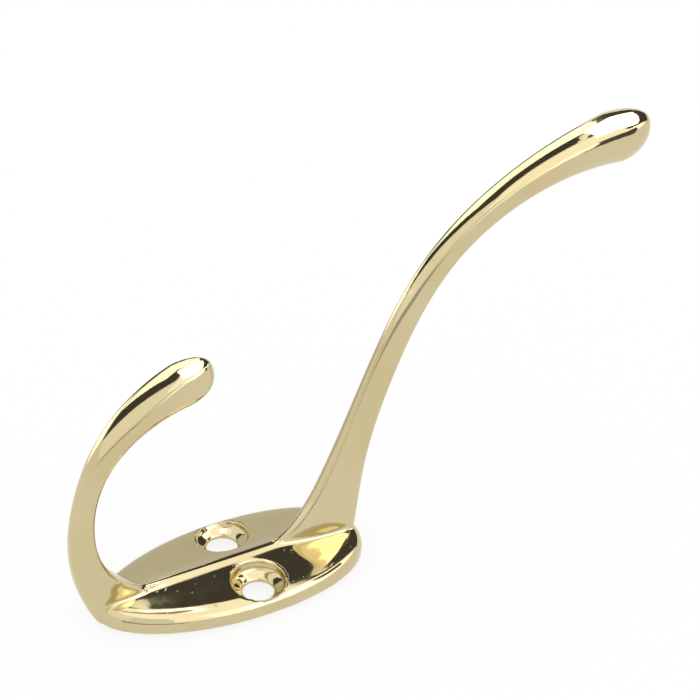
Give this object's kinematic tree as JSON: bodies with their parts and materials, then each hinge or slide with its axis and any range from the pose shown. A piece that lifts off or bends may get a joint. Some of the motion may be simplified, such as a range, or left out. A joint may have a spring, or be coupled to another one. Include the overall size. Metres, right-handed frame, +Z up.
{
  "type": "hat and coat hook",
  "caption": "Cast brass hat and coat hook: an oval wall plate with countersunk screw holes, a long upper arm for hats and a short curled lower arm for coats, both with flared tips.",
  "frame": {"origin": "on the wall face, midway between the two screw holes", "axes": "+Z up the wall, -Y out from the wall into the room, +X to the right as seen by someone facing the wall"},
  "size_m": [0.022, 0.0635, 0.099],
  "materials": {
    "brass": "polished"
  },
  "bodies": {
    "root": {"hook": "brass"}
  },
  "joints": []
}
